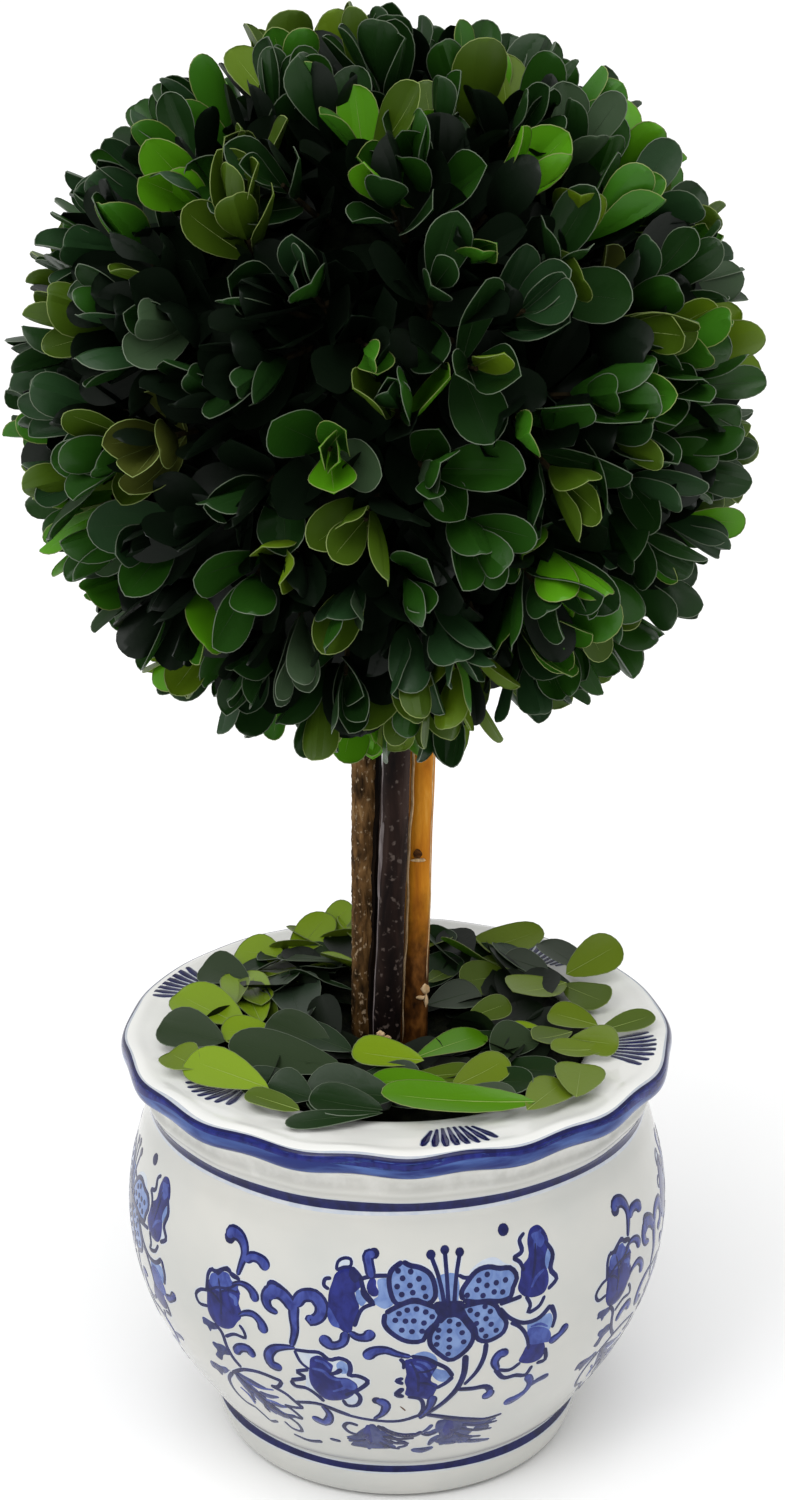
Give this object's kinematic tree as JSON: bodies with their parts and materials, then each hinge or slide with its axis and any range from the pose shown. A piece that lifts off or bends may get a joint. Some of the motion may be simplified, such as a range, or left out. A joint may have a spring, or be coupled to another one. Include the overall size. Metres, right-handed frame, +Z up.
{
  "type": "box topiary ball in a porcelain pot",
  "caption": "Tabletop box topiary: a clipped ball of preserved box leaves on bundled cut stems, in a round scalloped blue and white porcelain pot covered with loose leaves.",
  "frame": {"origin": "middle of the pot's flat underside", "axes": "+Z up the stems from the pot to the ball, -Y towards the front, +X to the right seen from the front"},
  "size_m": [0.1612, 0.1632, 0.331],
  "materials": {
    "porcelain": "gloss glaze, white with cobalt blue painting",
    "cobalt": "cobalt blue painted under a gloss glaze",
    "fill": "matt, coarse",
    "bed_leaves": "satin leaf",
    "brown_bark": "rough bark",
    "dark_bark": "smooth dark bark",
    "peeled_wood": "peeled wood",
    "crown_leaves": "satin leaf"
  },
  "bodies": {
    "root": {"pot": "porcelain", "pot_fill": "fill", "leaf_bed": "bed_leaves", "stem_left": "brown_bark", "stem_middle": "dark_bark", "stem_right": "peeled_wood", "crown": "crown_leaves"}
  },
  "joints": []
}
